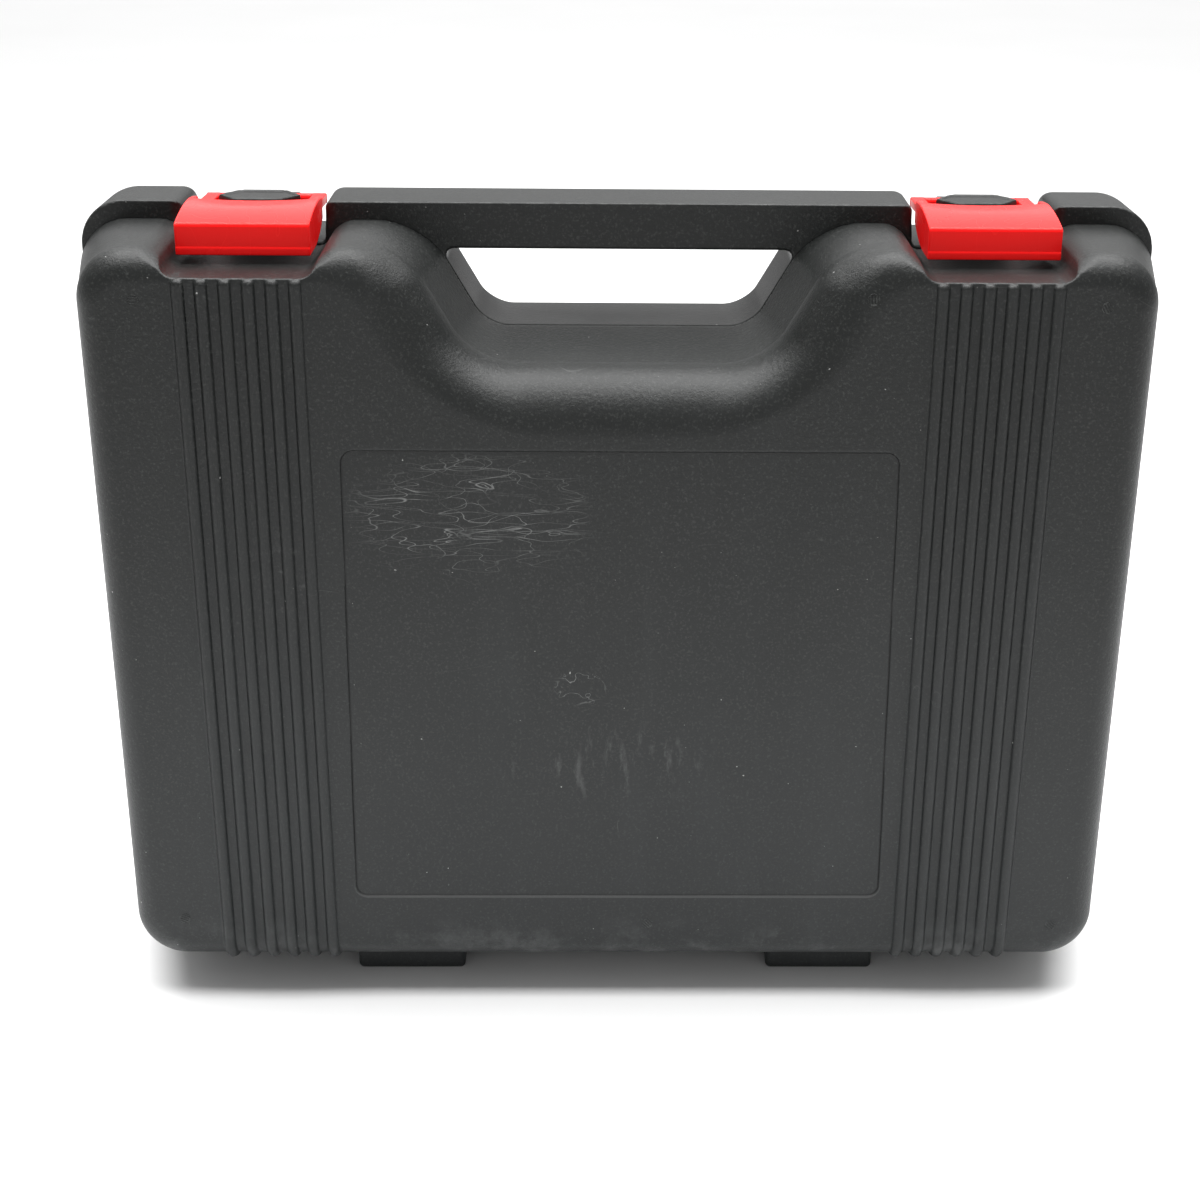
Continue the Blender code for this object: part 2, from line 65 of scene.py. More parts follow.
LATCH_X, LATCH_HALF, LATCH_INNER, LATCH_WALL = 142.6, 25.5, 23.1, 2.4
LATCH_FRONT, LATCH_EDGE, LATCH_RISE = 34.0, 330.3, 3.77
LID_NOTCH_X, LID_NOTCH_HALF, LID_NOTCH_Z = 141.8, 26.6, 315.0
LID_NOTCH_FLARE, LID_NOTCH_DEEP = 5.0, 10.3
BASE_NOTCH_X, BASE_NOTCH_HALF, BASE_NOTCH_Z = 144.0, 28.0, 316.0
SEAT_Z = 314.5  # bottom of boss and saddle, inside the notch's floor
BOSS_Y, BOSS_HALF, BOSS_HALF_Y, BOSS_POINT, BOSS_TOP = 11.0, 16.3, 9.0, 7.0, 332.7
SADDLE_Y, SADDLE_HALF, SADDLE_HALF_Y, SADDLE_TOP = 26.0, 13.0, 7.0, 329.2
BAR_Y, BAR_Z, BAR_RADIUS, BAR_HALF = 27.0, 327.8, 2.0, 24.1
GROOVE_RADIUS, GROOVE_MOUTH = 2.3, 1.9
ARM_X, ARM_HALF, ARM_FRONT, ARM_LENGTH = 21.3, 2.8, -12.0, 39.0

HINGE_X, AXIS_Z, PIN_RADIUS, PIN_HALF, HOLE_RADIUS = 89.6, 5.6, 2.0, 43.8, 2.35
KNUCKLE_RADIUS, KNUCKLE_ROUND, FOOT_ROUND, FOOT_TOP, FOOT_GAP = 5.2, 2.2, 3.0, 17.0, 0.3
LID_FOOT_HALF, LID_FOOT_REACH = 23.35, 34.0
BASE_FOOT_X, BASE_FOOT_HALF, BASE_FOOT_REACH = 33.75, 10.0, 30.0

BEAD_X, BEAD_PITCH, BEAD_HALF, BEAD_HIGH, BEAD_BLEND = 142.0, 8.7, 2.4, 2.0, 0.45
PANEL_X, PANEL_Z, PANEL_HALF_Z, PANEL_CORNER = 0.6, 149.65, 98.65, 5.0
PANEL_HALF, PANEL_WIDER, PANEL_DEEP = 107.3, 2.6, 0.5  # half width at its top, and more at its foot
PANEL_TOP = PANEL_Z + PANEL_HALF_Z
TRAY_Z, TRAY_HALF, TRAY_HALF_Z = 151.0, 191.0, 117.0
TRAY_CORNER, TRAY_ROUND, TRAY_GAP, TRAY_WALL = 16.0, 6.0, 0.3, 2.4
HOLLOW_DRAFT, TRAY_DRAFT = 4.0, 5.0
LID_HOLLOW, LID_TRAY, BASE_HOLLOW, BASE_TRAY = 53.2, 52.3, 37.2, 36.3

VENT_RADIUS, SLOT_PITCH, SLOT_HALF, SLOT_REACH = 2.3, 1.05, 0.24, 1.75
VENTS = ((-180.6, 306.7, 4.0), (94.5, 308.4, 84.0), (182.2, 305.9, 60.0),
         (-182.0, 40.1, 25.0), (184.7, 36.9, 40.0), (13.1, 37.8, 45.0))  # x, z and turn in degrees

# How far off the surface its normals, and its bends for the wear, are measured.
NORMAL_REACH, EDGE_REACH = 0.12, 0.9

# Scale, turn and thinness of the fine scratches under the hand hole.
SWIRLS = ((120.0, 1.25, 0.0048), (90.0, 0.35, 0.0030), (140.0, -0.45, 0.0048),
          (75.0, -1.0, 0.0026), (110.0, 0.05, 0.0034), (100.0, 0.95, 0.0038))

CHARCOAL_DARK, CHARCOAL_LIGHT = (0.0064, 0.0072, 0.0068, 1.0), (0.0102, 0.0112, 0.0109, 1.0)
SPECKLE, SPECK = (0.060, 0.063, 0.060, 1.0), (0.45, 0.45, 0.44, 1.0)
RUBBED, SCRAPED = (0.11, 0.115, 0.11, 1.0), (0.36, 0.365, 0.36, 1.0)
# Haze, and a paler colour laid on the face's lower part as painted light.
HAZE, LOWER_FACE_LIGHT = (0.065, 0.072, 0.075, 1.0), (0.060, 0.066, 0.069, 1.0)
# The first colour here is painted shade for the line round the label panel, the second a painted
# highlight for its bottom edge.
CREASE_SHADE, SHINE, DUST = (0.003, 0.003, 0.003, 1.0), (0.11, 0.11, 0.11, 1.0), (0.15, 0.155, 0.155, 1.0)
RED_DARK, RED_LIGHT = (0.86, 0.006, 0.007, 1.0), (0.93, 0.010, 0.010, 1.0)
RED_RUBBED, RED_GLOSS = (0.85, 0.16, 0.14, 1.0), (1.0, 0.25, 0.22, 1.0)
STEEL_DARK, STEEL_LIGHT = (0.42, 0.42, 0.41, 1.0), (0.60, 0.60, 0.59, 1.0)
FLOOR_DARK, FLOOR_LIGHT = (0.86, 0.86, 0.86, 1.0), (0.90, 0.90, 0.90, 1.0)

# Name, place, aim, width and depth in metres, and power in watts.
LIGHTS = (
    ("top", (0.0, 0.15, 1.75), (0.0, 0.05, 0.2), 2.4, 1.5, 88.0),
    ("back", (0.0, 4.6, 2.6), (0.0, 4.2, 0.0), 9.0, 5.0, 150.0),
    ("fill", (0.0, -2.6, 1.3), (0.0, 0.0, 0.2), 3.0, 1.6, 4.0),
)
WORLD_STRENGTH = 0.40
FLOOR_HALF = 12.0  # metres

CAMERA_PLACE = (-0.0051, -0.7676, 0.4936)
CAMERA_PITCH, CAMERA_YAW, CAMERA_ROLL = 22.739, 1.053, 0.604  # degrees
SENSOR, PICTURE, FOCAL = 36.0, 1200.0, 1980.1  # mm, px and px
CENTRE_X, CENTRE_Y = -38.9, -12.2  # px off the picture's middle


# Distance fields -----------------------------------------------------------------------------


def rmax(a, b, r):
    """Intersection with a rounded outer edge of radius r."""
    u = np.maximum(a + r, 0.0)
    v = np.maximum(b + r, 0.0)
    return np.minimum(np.maximum(a, b), -r) + np.sqrt(u * u + v * v)


def rmin(a, b, r):
    """Union with a fillet of radius r."""
    return -rmax(-a, -b, r)


def ease(low, high, value):
    """0 at low, 1 at high and a smooth curve between."""
    t = np.clip((value - low) / (high - low), 0.0, 1.0)
    return t * t * (3.0 - 2.0 * t)


def oval_edge(wall, face, inset, drop):
    """Intersection of wall and face with a quarter-oval edge."""
    u = (wall + inset) / inset
    v = (face + drop) / drop
    high = np.minimum(np.maximum(u, v), 0.0)
    return (high + np.hypot(np.maximum(u, 0.0), np.maximum(v, 0.0)) - 1.0) * drop


def outline(ax, z, d, half):
    """A half's walls, which lean in towards its face."""
    lean = np.clip(d / (half["depth"] - half["drop"]), 0.0, 1.0)
    wall = rmax(
        ax - half["half"] + half["side_draft"] * lean,
        z - half["top"] + half["top_draft"] * lean,
        half["radius"],
    )
    return rmax(wall, half["low"] + half["low_draft"] * lean - z, half["radius"])


def hand_walls(ax, z):
    """The floor and the slanted ends of the hand hole and of the lid's dish."""
    slope = (ax - HAND_HALF - (z - HAND_FLOOR) / HAND_TAN) * HAND_SIN
    return rmax(slope, HAND_FLOOR - z, HAND_CORNER)


def beads(ax, d, z, bare, top, under):
    """Six half-round ridges that follow the surface bare and end in round noses."""
    n = ax - BEAD_X
    k = np.clip(np.round(n / BEAD_PITCH + 2.5), 0, 5) - 2.5
    across = n - k * BEAD_PITCH
    over = np.maximum(z - (top - BEAD_HALF), 0.0)
    back = np.where(z < 100.0, np.maximum(under + BEAD_HALF - d, 0.0), 0.0)
    wide = np.sqrt(across * across + over * over + back * back) / BEAD_HALF
    return (np.hypot(wide, np.maximum(bare, -6.0) / BEAD_HIGH) - 1.0) * BEAD_HIGH


def panel(x, z):
    """Signed distance to the label panel's outline, a little wider at the bottom."""
    half = PANEL_HALF + PANEL_WIDER * (PANEL_TOP - z) / (2.0 * PANEL_HALF_Z)
    return rmax(np.abs(x - PANEL_X) - half, np.abs(z - PANEL_Z) - PANEL_HALF_Z, PANEL_CORNER)


def panel_sink(x, z):
    return PANEL_DEEP * ease(0.35, -0.35, panel(x, z))


def knuckle(across, d, z, reach):
    """A bored knuckle on its foot, across being the distance past its end."""
    round_pin = np.hypot(d, z - AXIS_Z)
    foot = rmax(d - reach, -z, FOOT_ROUND)
    block = rmax(foot, np.maximum(FOOT_GAP - d, z - FOOT_TOP), 0.05)
    body = rmax(np.minimum(round_pin - KNUCKLE_RADIUS, block), across, KNUCKLE_ROUND)
    return np.maximum(body, HOLE_RADIUS - round_pin)


def tray_shape(x, z, d, deep, draft, gap=0.0, skin=0.0):
    """A tray's outside, or with a skin its inside. Its walls lean in by the draft."""
    lean = draft * np.clip(d / (deep - TRAY_ROUND), 0.0, 1.0) + gap + skin
    walls = rmax(
        np.abs(x) - TRAY_HALF + lean,
        np.abs(z - TRAY_Z) - TRAY_HALF_Z + lean,
        TRAY_CORNER,
    )
    return rmax(walls, d - deep + skin, TRAY_ROUND)


def lid_field(x, y, z):
    ax, d = np.abs(x), -y
    edge = outline(ax, z, d, LID)
    sloped = DISH_DRAFT * np.clip(d / (LID["depth"] - DISH_ROUND), 0.0, 1.0)
    dish = sloped - hand_walls(ax, z)
    radius = LID["inset"] + (DISH_ROUND - LID["inset"]) * ease(-18.0, 6.0, dish - edge)
    bare = rmax(rmax(edge, dish, 16.0), d - LID["depth"], radius)
    sunk = np.where(d > 45.0, panel_sink(x, z), 0.0)
    n = np.abs(ax - LID_NOTCH_X)
    half = LID_NOTCH_HALF + LID_NOTCH_FLARE * (z - LID_NOTCH_Z) / LID_NOTCH_DEEP
    notch = rmax((n - half) * 0.9, LID_NOTCH_Z - z, 3.0)
    f = rmax(bare + sunk, -notch, 0.7 + 5.3 * ease(317.0, 323.0, z))
    f = rmin(f, beads(ax, d, z, bare, 314.8, 35.0), BEAD_BLEND)
    f = rmax(f, SEAM - d, 0.6)
    f = rmax(f, -tray_shape(x, z, d, LID_HOLLOW, HOLLOW_DRAFT), 0.6)
    foot = knuckle(np.abs(ax - HINGE_X) - LID_FOOT_HALF, d, z, LID_FOOT_REACH)
    return np.minimum(f, foot)


def base_field(x, y, z):
    ax, d = np.abs(x), y
    edge = outline(ax, z, d, BASE)
    bare = oval_edge(edge, d - BASE["depth"], BASE["inset"], BASE["drop"])
    sunk = np.where(d > 30.0, panel_sink(x, z), 0.0)
    f = rmax(bare + sunk, SEAM - d, 1.1)
    hole = rmax(hand_walls(ax, z), z - HAND_TOP, 5.0)
    f = rmax(f, -hole, 1.3 + 3.7 * ease(26.0, 36.0, d))
    notch = rmax(np.abs(ax - BASE_NOTCH_X) - BASE_NOTCH_HALF, BASE_NOTCH_Z - z, 2.0)
    f = rmax(f, -notch, 0.9 + 4.0 * ease(318.0, 327.0, z))
    f = rmin(f, beads(ax, d, z, bare, 315.8, 19.0), BEAD_BLEND)
    f = rmax(f, -tray_shape(x, z, d, BASE_HOLLOW, HOLLOW_DRAFT), 0.6)
    n = np.abs(ax - LATCH_X)
    by = np.abs(d - BOSS_Y)
    lozenge = rmax((n - BOSS_HALF + BOSS_POINT * by / BOSS_HALF_Y) * 0.789, by - BOSS_HALF_Y, 1.2)
    boss = rmax(lozenge, z - BOSS_TOP + 0.7 * ease(-1.3, -2.3, lozenge), 0.6)
    boss = np.maximum(boss, SEAT_Z - z)
    saddle = rmax(n - SADDLE_HALF, np.abs(d - SADDLE_Y) - SADDLE_HALF_Y, 0.8)
    saddle = rmax(saddle, z - SADDLE_TOP, 0.6)
    groove = np.minimum(
        np.hypot(d - BAR_Y, z - BAR_Z) - GROOVE_RADIUS,
        np.maximum(np.abs(d - BAR_Y) - GROOVE_MOUTH, BAR_Z - z),
    )
    saddle = np.maximum(rmax(saddle, -groove, 0.3), SEAT_Z - z)
    f = rmin(f, np.minimum(boss, saddle), 0.8)
    across = np.abs(np.abs(ax - HINGE_X) - BASE_FOOT_X) - BASE_FOOT_HALF
    return np.minimum(f, knuckle(across, d, z, BASE_FOOT_REACH))


def tray_field(deep, side):
    """The tray of the half that lies on this side of the seam plane."""
    def field(x, y, z):
        d = side * y
        outside = tray_shape(x, z, d, deep, TRAY_DRAFT, TRAY_GAP)
        inside = tray_shape(x, z, d, deep, TRAY_DRAFT, TRAY_GAP, TRAY_WALL)
        return rmax(rmax(outside, SEAM - d, 0.5), -inside, 0.5)

    return field


def latch_field(x, y, z):
    """One latch, with x measured from its own middle."""
    ax = np.abs(x)
    t = np.clip((y + LATCH_FRONT) / 30.0, 0.0, 1.0)
    crown = LATCH_RISE * t + 4.4 * t * (1.0 - t)
    top = LATCH_EDGE + crown - 1.0 * np.clip((y + 4.0) / 9.0, 0.0, 1.0)
    top = top - 0.9 * ease(0.45, 1.0, t) * (1.0 - np.clip(ax / 23.0, 0.0, 1.0) ** 2)
    lip = 0.3 * ease(321.6, 321.1, z)
    skin = rmax(z - top, -LATCH_FRONT - y + 0.3 - lip, 1.3)
    skin = rmax(skin, ax - LATCH_HALF, 0.7)
    under = 318.4 + 7.0 * np.clip((y + 22.0) / 27.0, 0.0, 1.0) ** 2
    skin = rmax(rmax(skin, under - z, 0.5), y - 5.0, 1.5)
    inner = np.maximum(z - top + LATCH_WALL, LATCH_WALL - LATCH_FRONT - y)
    inner = np.maximum(inner, ax - LATCH_INNER)
    window = np.maximum(-4.0 - y, ax - LATCH_INNER)
    cap = rmax(skin, -rmin(inner, window, 0.5), 0.35)
    along = (y - ARM_FRONT) / ARM_LENGTH
    arm = np.abs(z - (329.35 - 1.55 * along)) - (1.75 + 0.25 * along)
    arm = rmax(arm, np.abs(ax - ARM_X) - ARM_HALF, 0.6)
    arm = np.maximum(arm, np.abs(y - ARM_FRONT - ARM_LENGTH / 2.0) - ARM_LENGTH / 2.0)
    bar = rmax(np.hypot(y - BAR_Y, z - BAR_Z) - BAR_RADIUS, ax - BAR_HALF, 0.6)
    return rmin(cap, rmin(arm, bar, 0.5), 0.5)


def vent_field(centre, out, turn):
    """A slotted vent mark: a thin disc with four slots, lying on the face."""
    side = np.cross(out, (0.0, 0.0, 1.0))
    side /= np.linalg.norm(side)
    rise = np.cross(side, out)
    u_axis = side * math.cos(turn) + rise * math.sin(turn)
    v_axis = rise * math.cos(turn) - side * math.sin(turn)

    def field(x, y, z):
        dx, dy, dz = x - centre[0], y - centre[1], z - centre[2]
        u = dx * u_axis[0] + dy * u_axis[1] + dz * u_axis[2]
        v = dx * v_axis[0] + dy * v_axis[1] + dz * v_axis[2]
        w = dx * out[0] + dy * out[1] + dz * out[2]
        disc = rmax(np.hypot(u, v) - VENT_RADIUS, np.abs(w + 0.3) - 0.45, 0.1)
        nearest = SLOT_PITCH * (np.clip(np.round(v / SLOT_PITCH + 0.5), -1, 2) - 0.5)
        slot = np.maximum(np.abs(v - nearest) - SLOT_HALF, -0.1 - w)
        return rmax(disc, -rmax(slot, np.abs(u) - SLOT_REACH, 0.1), 0.08)

    return field


def pin_field(x, y, z):
    """One hinge pin, with x measured from its own middle."""
    return rmax(np.hypot(y, z - AXIS_Z) - PIN_RADIUS, np.abs(x) - PIN_HALF, 0.6)


def moved(field, middle):
    """The field with its x measured from middle."""
    return lambda x, y, z: field(x - middle, y, z)


# Surfaces ------------------------------------------------------------------------------------


def at(field, points):
    return field(points[:, 0], points[:, 1], points[:, 2])


def slopes(field, points, reach):
    """The field's gradient, measured over reach to each side."""
    found = np.empty_like(points)
    for axis in range(3):
        near = points.copy()
        near[:, axis] += reach
        high = at(field, near)
        near[:, axis] -= 2.0 * reach
        found[:, axis] = (high - at(field, near)) / (2.0 * reach)
    return found


def settle(field, points, most, rounds=3):
    """Moves points onto the surface, no further than most in each round."""
    for _ in range(rounds):
        g = slopes(field, points, 0.05)
        move = at(field, points) / np.maximum((g * g).sum(1), 0.05)
        step = g * move[:, None]
        length = np.linalg.norm(step, axis=1)
        points = points - step * np.minimum(1.0, most / np.maximum(length, 1e-9))[:, None]
    return points


def surface_net(field, low, high, step):
    """Points and quads of the field's zero surface, found block by block."""
    low = np.array(low, float)
    size = BLOCK * step
    shape = np.ceil((np.array(high) - low) / size).astype(int)
    cells = np.indices(shape).reshape(3, -1).T
    near = cells[np.abs(at(field, low + (cells + 0.5) * size)) < 1.25 * size]
    offsets = np.indices((BLOCK + 1,) * 3).reshape(3, -1).T * step
    values = np.empty((len(near), (BLOCK + 1) ** 3), np.float32)
    for start in range(0, len(near), BATCH):
        some = near[start:start + BATCH]
        points = ((low + some * size)[:, None, :] + offsets).reshape(-1, 3)
        values[start:start + BATCH] = at(field, points).reshape(len(some), -1)
    values = values.reshape(-1, BLOCK + 1, BLOCK + 1, BLOCK + 1)
    inside = values < 0.0
    corners = [(a, b, c) for a in (0, 1) for b in (0, 1) for c in (0, 1)]
    parts = [slice(0, BLOCK), slice(1, BLOCK + 1)]
    total = sum(inside[:, parts[a], parts[b], parts[c]].astype(np.int8) for a, b, c in corners)
    active = np.argwhere((total > 0) & (total < 8))
    block, i, j, k = active.T
    whole = near[block] * BLOCK + active[:, 1:]
    span = (shape * BLOCK + 2).astype(np.int64)

    def key(c):
        return (c[:, 0] * span[1] + c[:, 1]) * span[2] + c[:, 2]

    # Each cell's point is the mean of the places where the surface crosses its edges.
    at_corner = np.stack([values[block, i + a, j + b, k + c] for a, b, c in corners], 1)
    summed = np.zeros((len(active), 3))
    count = np.zeros(len(active))
    for p in range(8):
        for q in range(p + 1, 8):
            if sum(abs(m - n) for m, n in zip(corners[p], corners[q])) != 1:
                continue
            vp, vq = at_corner[:, p], at_corner[:, q]
            crosses = (vp < 0) != (vq < 0)
            t = np.where(crosses, vp / np.where(crosses, vp - vq, 1.0), 0.0)
            first, last = np.array(corners[p]), np.array(corners[q])
            place = first + t[:, None] * (last - first)
            summed += np.where(crosses[:, None], place, 0.0)
            count += crosses
    points = low + (whole + summed / count[:, None]) * step
    keys = key(whole)
    order = np.argsort(keys)
    ordered = keys[order]

    # Each grid edge that the surface crosses gives a quad between the four cells round it.
    quads = []
    for axis in range(3):
        ends = [parts[0]] * 3
        ends[axis] = parts[1]
        start = inside[:, :BLOCK, :BLOCK, :BLOCK]
        end = inside[:, ends[0], ends[1], ends[2]]
        for out in (True, False):
            found = np.argwhere((start == out) & (end != out))
            cell = near[found[:, 0]] * BLOCK + found[:, 1:]
            u, v = np.zeros(3, int), np.zeros(3, int)
            u[(axis + 1) % 3] = 1
            v[(axis + 2) % 3] = 1
            ring = [cell - u - v, cell - v, cell, cell - u]
            quads.append(np.stack([key(c) for c in (ring if out else ring[::-1])], 1))
    quads = np.concatenate(quads)
    spot = np.clip(np.searchsorted(ordered, quads), 0, len(ordered) - 1)
    whole_quads = (ordered[spot] == quads).all(1)
    if not whole_quads.all():
        print("surface_net: open quads", int((~whole_quads).sum()))
    return points, order[spot[whole_quads]]


def put_points(mesh, points):
    mesh.vertices.foreach_set("co", ((points + SHIFT) * MM).astype(np.float32).ravel())


def get_points(mesh):
    co = np.empty(len(mesh.vertices) * 3, np.float32)
    mesh.vertices.foreach_get("co", co)
    return co.reshape(-1, 3).astype(float) / MM - SHIFT


def mesh_from(name, points, quads):
    mesh = bpy.data.meshes.new(name)
    mesh.vertices.add(len(points))
    put_points(mesh, points)
    mesh.loops.add(quads.size)
    mesh.loops.foreach_set("vertex_index", quads.astype(np.int32).ravel())
    mesh.polygons.add(len(quads))
    mesh.polygons.foreach_set("loop_start", np.arange(0, quads.size, 4, dtype=np.int32))
    mesh.update(calc_edges=True)
    return mesh


def thinned(obj, keep):
    """The object's mesh with this share of its faces kept."""
    thin = obj.modifiers.new("thin", "DECIMATE")
    thin.ratio = keep
    thin.use_collapse_triangulate = True
    graph = bpy.context.evaluated_depsgraph_get()
    mesh = bpy.data.meshes.new_from_object(obj.evaluated_get(graph))
    obj.modifiers.clear()
    return mesh


def bend_at(field, points):
    """How sharply the surface bends at each point: over 0 on an outer edge."""
    bend = np.zeros(len(points))
    for axis in range(3):
        for side in (-EDGE_REACH, EDGE_REACH):
            near = points.copy()
            near[:, axis] += side
            bend += at(field, near)
    return np.clip(bend, -3.0, 3.0).astype(np.float32)


def field_piece(name, field, low, high, step, keep, body, node, material):
    """A piece along the field's surface, which stands for a CAD node if one is named."""
    step = step * 1.0
    points, quads = surface_net(field, low, high, step)
    points = settle(field, points, 0.6 * step)
    obj = bpy.data.objects.new(name, mesh_from(name, points, quads))
    bpy.context.scene.collection.objects.link(obj)
    mesh = thinned(obj, keep)
    obj.data = mesh
    points = settle(field, get_points(mesh), 0.3 * step)
    put_points(mesh, points)
    normals = slopes(field, points, NORMAL_REACH)
    normals /= np.maximum(np.linalg.norm(normals, axis=1), 1e-9)[:, None]
    edge = mesh.attributes.new("edge", "FLOAT", "POINT")
    edge.data.foreach_set("value", bend_at(field, points))
    mesh.polygons.foreach_set("use_smooth", np.ones(len(mesh.polygons), bool))
    mesh.update()
    mesh.normals_split_custom_set_from_vertices(normals.astype(np.float32))
    mesh.materials.clear()
    mesh.materials.append(material)
    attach(obj, body)
    if node:
        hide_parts(node)
    print(name, len(mesh.polygons), "triangles")
    return obj


# Materials -----------------------------------------------------------------------------------


class Graph:
    """Short calls for a material's nodes."""

    def __init__(self, name):
        self.material = bpy.data.materials.new(name)
        self.material.use_nodes = True
        self.tree = self.material.node_tree
        self.shader = self.tree.nodes["Principled BSDF"]
        self.place = self.new("ShaderNodeTexCoord").outputs["Object"]

    def new(self, kind, **settings):
        made = self.tree.nodes.new(kind)
        for key, value in settings.items():
            setattr(made, key, value)
        return made

    def put(self, socket, value):
        if isinstance(value, bpy.types.NodeSocket):
            self.tree.links.new(value, socket)
        else:
            socket.default_value = value

    def math(self, operation, a, b=0.0, c=0.0, clamp=False):
        made = self.new("ShaderNodeMath", operation=operation, use_clamp=clamp)
        for socket, value in zip(made.inputs, (a, b, c)):
            self.put(socket, value)
        return made.outputs[0]

    def add(self, a, b):
        return self.math("ADD", a, b)

    def less(self, a, b):
        return self.math("SUBTRACT", a, b)

    def times(self, a, b, clamp=False):
        return self.math("MULTIPLY", a, b, clamp=clamp)

    def most(self, a, b, clamp=False):
        return self.math("MAXIMUM", a, b, clamp=clamp)

    def size(self, a):
        return self.math("ABSOLUTE", a)

    def scaled(self, scale, turn=(0.0, 0.0, 0.0)):
        made = self.new("ShaderNodeMapping")
        self.put(made.inputs["Vector"], self.place)
        made.inputs["Scale"].default_value = scale
        made.inputs["Rotation"].default_value = turn
        return made.outputs[0]

    def noise(self, scale, detail=3.0, rough=0.5, twist=0.0, vector=None):
        made = self.new("ShaderNodeTexNoise")
        self.put(made.inputs["Vector"], vector or self.place)
        made.inputs["Scale"].default_value = scale
        made.inputs["Detail"].default_value = detail
        made.inputs["Roughness"].default_value = rough
        made.inputs["Distortion"].default_value = twist
        return made.outputs["Fac"]

    def ramp(self, value, low, high, to_low=0.0, to_high=1.0):
        made = self.new("ShaderNodeMapRange", interpolation_type="SMOOTHSTEP")
        numbers = {"Value": value, "From Min": low, "From Max": high, "To Min": to_low,
                   "To Max": to_high}
        for key, number in numbers.items():
            self.put(made.inputs[key], number)
        return made.outputs[0]

    def mix(self, factor, a, b):
        made = self.new("ShaderNodeMix", data_type="RGBA")
        self.put(made.inputs[0], factor)
        self.put(made.inputs[6], a)
        self.put(made.inputs[7], b)
        return made.outputs[2]

    def lay(self, factor, share, under, over):
        """The colour under, with this share of the colour over where factor is 1."""
        return self.mix(self.times(factor, share), under, over)

    def axes(self):
        made = self.new("ShaderNodeSeparateXYZ")
        self.put(made.inputs[0], self.place)
        return made.outputs

    def attribute(self, name):
        return self.new("ShaderNodeAttribute", attribute_name=name).outputs["Fac"]

    def spot(self, x, z, half_x, half_z):
        """1 in the middle of an oval on the face, falling to 0 at its edge. Metres."""
        xyz = self.axes()
        u = self.math("DIVIDE", self.less(xyz[0], x), half_x)
        v = self.math("DIVIDE", self.less(xyz[2], z), half_z)
        return self.ramp(self.add(self.times(u, u), self.times(v, v)), 1.0, 0.1)

    def lines(self, scale, stretch, turn, thin, twist=0.4):
        """Thin curved lines, where a noise passes its middle value."""
        value = self.noise(scale, 1.5, 0.45, twist, self.scaled(stretch, turn))
        return self.ramp(self.size(self.less(value, 0.5)), thin, 0.0)

    def bump(self, height, strength, distance, normal=None):
        made = self.new("ShaderNodeBump")
        made.inputs["Strength"].default_value = strength
        made.inputs["Distance"].default_value = distance
        self.put(made.inputs["Height"], height)
        if normal is not None:
            self.put(made.inputs["Normal"], normal)
        return made.outputs[0]

    def finish(self, colour, rough, normal=None):
        self.put(self.shader.inputs["Base Color"], colour)
        self.put(self.shader.inputs["Roughness"], rough)
        if normal is not None:
            self.put(self.shader.inputs["Normal"], normal)
        return self.material


def panel_rim(g, xyz):
    """Signed distance to the label panel's outline, as in panel() but in metres."""
    spread = PANEL_WIDER / (2.0 * PANEL_HALF_Z)
    widest = MM * (PANEL_HALF + spread * PANEL_TOP)
    corner = MM * PANEL_CORNER
    half = g.math("MULTIPLY_ADD", xyz[2], -spread, widest)
    beside = g.less(g.size(g.less(xyz[0], MM * PANEL_X)), half)
    above = g.less(g.size(g.less(xyz[2], MM * PANEL_Z)), MM * PANEL_HALF_Z)
    u = g.most(g.add(beside, corner), 0.0)
    v = g.most(g.add(above, corner), 0.0)
    rounded = g.math("SQRT", g.add(g.times(u, u), g.times(v, v)))
    return g.add(g.math("MINIMUM", g.most(beside, above), -corner), rounded)


def handling_marks(g, xyz):
    """Scratches and scuffs on the lid's face: 1 where the plastic is scraped pale."""
    swirl = g.lines(95.0, (0.30, 1.0, 1.2), (0.0, 0.75, 0.0), 0.0040, 0.15)
    for scale, turn, thin in SWIRLS:
        more = g.lines(scale, (0.18, 1.0, 1.1), (0.0, turn, 0.0), thin, 0.12)
        swirl = g.most(swirl, more)
    patchy = g.ramp(g.noise(60.0, 3.0, 0.6), 0.34, 0.60)
    scratch = g.times(swirl, g.times(g.spot(-0.056, 0.221, 0.056, 0.030), patchy))
    drawn = g.noise(240.0, 4.0, 0.7, 0.0, g.scaled((1.0, 1.0, 0.25)))
    scuff = g.times(g.spot(-0.003, 0.113, 0.055, 0.022), g.ramp(drawn, 0.52, 0.72))
    curls = g.lines(150.0, (1.0, 1.0, 1.0), (0.0, 0.4, 0.0), 0.02, 1.0)
    tick = g.times(g.spot(-0.015, 0.148, 0.012, 0.009), curls)
    chalk = g.ramp(g.noise(200.0, 4.0, 0.7), 0.55, 0.75)
    side = g.times(g.spot(-0.133, 0.195, 0.014, 0.035), chalk)
    long_lines = g.lines(14.0, (0.6, 1.0, 1.0), (0.0, 0.7, 0.0), 0.0006, 0.3)
    stray = g.times(long_lines, g.ramp(g.noise(25.0, 2.0), 0.58, 0.66))
    marks = g.most(g.times(scratch, 0.8), g.times(scuff, 0.18))
    for mark, share in ((tick, 0.7), (side, 0.25), (stray, 0.2)):
        marks = g.most(marks, g.times(mark, share), clamp=True)
    return g.times(marks, g.ramp(xyz[1], 0.0, -0.02))


